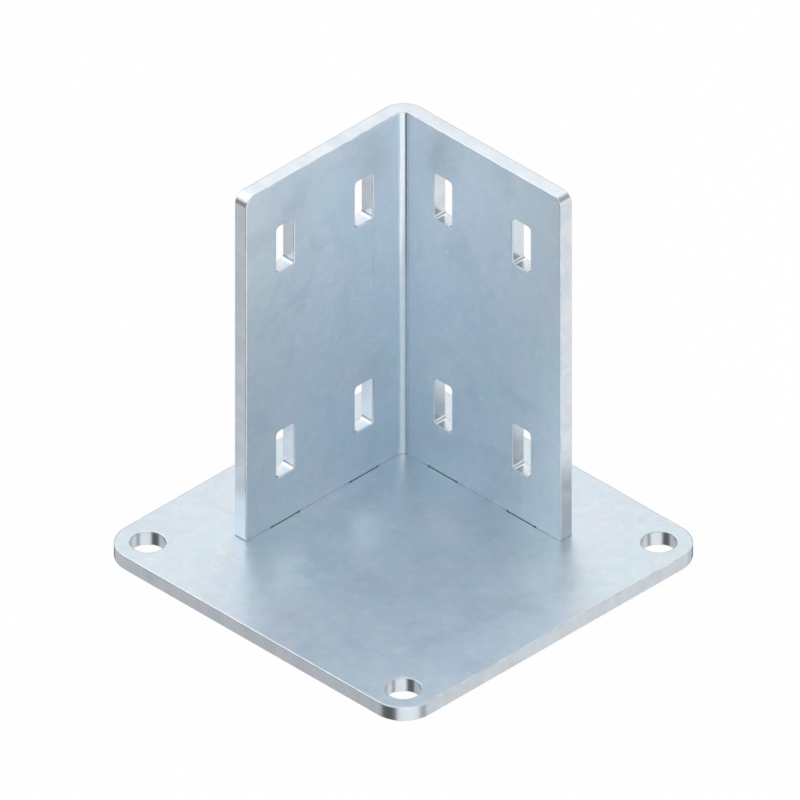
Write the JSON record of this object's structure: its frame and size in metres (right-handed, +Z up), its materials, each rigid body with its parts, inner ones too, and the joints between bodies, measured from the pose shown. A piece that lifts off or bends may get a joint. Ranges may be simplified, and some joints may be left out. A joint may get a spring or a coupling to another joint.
{
  "type": "base plate",
  "caption": "Steel post base: a square floor plate with a bent angle standing on it, slotted to hold a square profile upright.",
  "frame": {"origin": "middle of the plate's underside, on the floor", "axes": "+Z up out of the floor; +X and -Y point at the angle's open sides, so the bend stands towards -X and +Y"},
  "size_m": [0.155, 0.155, 0.156],
  "materials": {
    "zinc_steel": "satin, blue-white zinc plating",
    "weld": "rough, zinc plated with the rest"
  },
  "bodies": {
    "root": {"base_plate": "zinc_steel", "angle": "zinc_steel", "back_leg_left_plug_weld": "weld", "back_leg_right_plug_weld": "weld", "left_leg_front_plug_weld": "weld", "left_leg_rear_plug_weld": "weld"}
  },
  "joints": []
}
